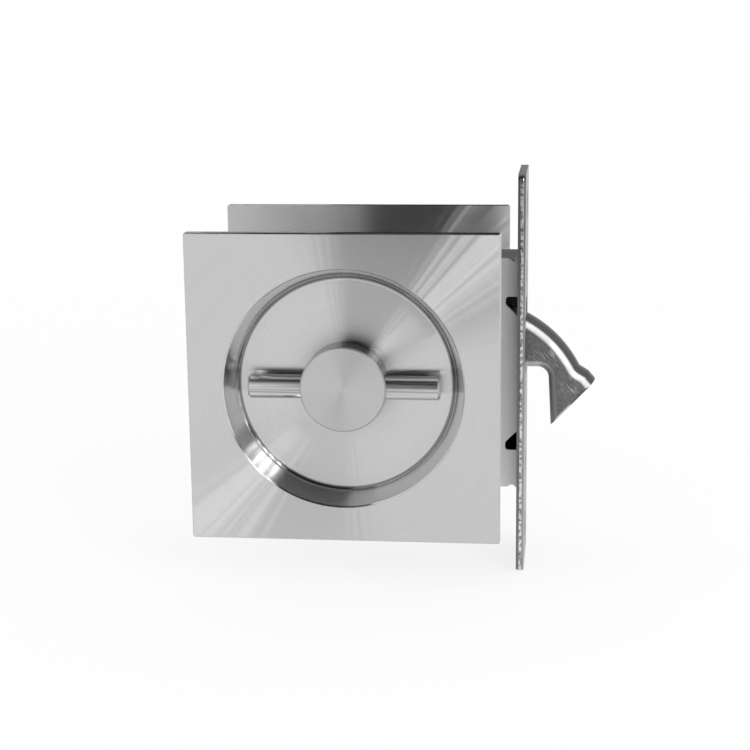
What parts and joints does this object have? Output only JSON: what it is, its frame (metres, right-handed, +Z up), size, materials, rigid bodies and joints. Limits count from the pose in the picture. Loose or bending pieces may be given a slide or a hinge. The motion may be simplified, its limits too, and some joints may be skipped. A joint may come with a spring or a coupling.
{
  "type": "pocket door hook lock",
  "caption": "Square flush pocket door lock with a round finger cup, a cross rod turn and a geared hook bolt that swings out through a narrow faceplate.",
  "frame": {"origin": "centre of the faceplate's seat in the door's edge, at spindle height and on the door's mid plane", "axes": "+X out of the door's edge, the way the hook points; +Y through the door, from the turn to the release; +Z up"},
  "size_m": [0.0844, 0.049, 0.086],
  "materials": {
    "satin_stainless": "stainless steel, brushed in circles around the cup",
    "turn_stainless": "fine satin stainless steel",
    "rod_stainless": "bright drawn stainless rod",
    "zinc_front": "zinc plated sheet steel with sheared edges",
    "zinc_case": "zinc plated sheet steel",
    "hook_steel": "satin plated steel with rounded edges",
    "hub_steel": "plain steel",
    "plain_steel": "plain steel",
    "screw_steel": "zinc plated steel",
    "spring_steel": "blued spring steel",
    "nylon": "natural nylon"
  },
  "bodies": {
    "lock": {"front_trim": "satin_stainless", "rear_trim": "satin_stainless", "front_bush": "nylon", "rear_bush": "nylon", "fixing_posts": "plain_steel", "fixing_screws": "screw_steel", "faceplate": "zinc_front", "faceplate_screws": "screw_steel", "case_tray": "zinc_case", "case_cover": "zinc_case", "case_posts": "plain_steel", "cover_screws": "screw_steel", "hook_pin": "plain_steel", "detent_spring": "spring_steel"},
    "turn": {"turn_boss": "turn_stainless", "turn_rod": "rod_stainless", "release_turn": "turn_stainless", "front_washer": "plain_steel", "rear_washer": "plain_steel", "front_ring": "spring_steel", "rear_ring": "spring_steel", "spindle": "plain_steel", "hub": "hub_steel"},
    "hook_bolt": {"hook": "hook_steel"}
  },
  "joints": [
    {"name": "turn_spin", "type": "hinge", "parent": "lock", "child": "turn", "pos_m": [-0.0354, 0, 0], "axis": [0, 1, 0], "range_deg": [0, 90], "deforming": ["detent_spring"]},
    {"name": "hook_swing", "type": "hinge", "parent": "lock", "child": "hook_bolt", "pos_m": [-0.0104, 0, -0.0113], "axis": [0, 1, 0], "range_deg": [-54, 0]}
  ],
  "couplings": [
    {"joint": "hook_swing", "follows": "turn_spin", "ratio": -0.6}
  ]
}
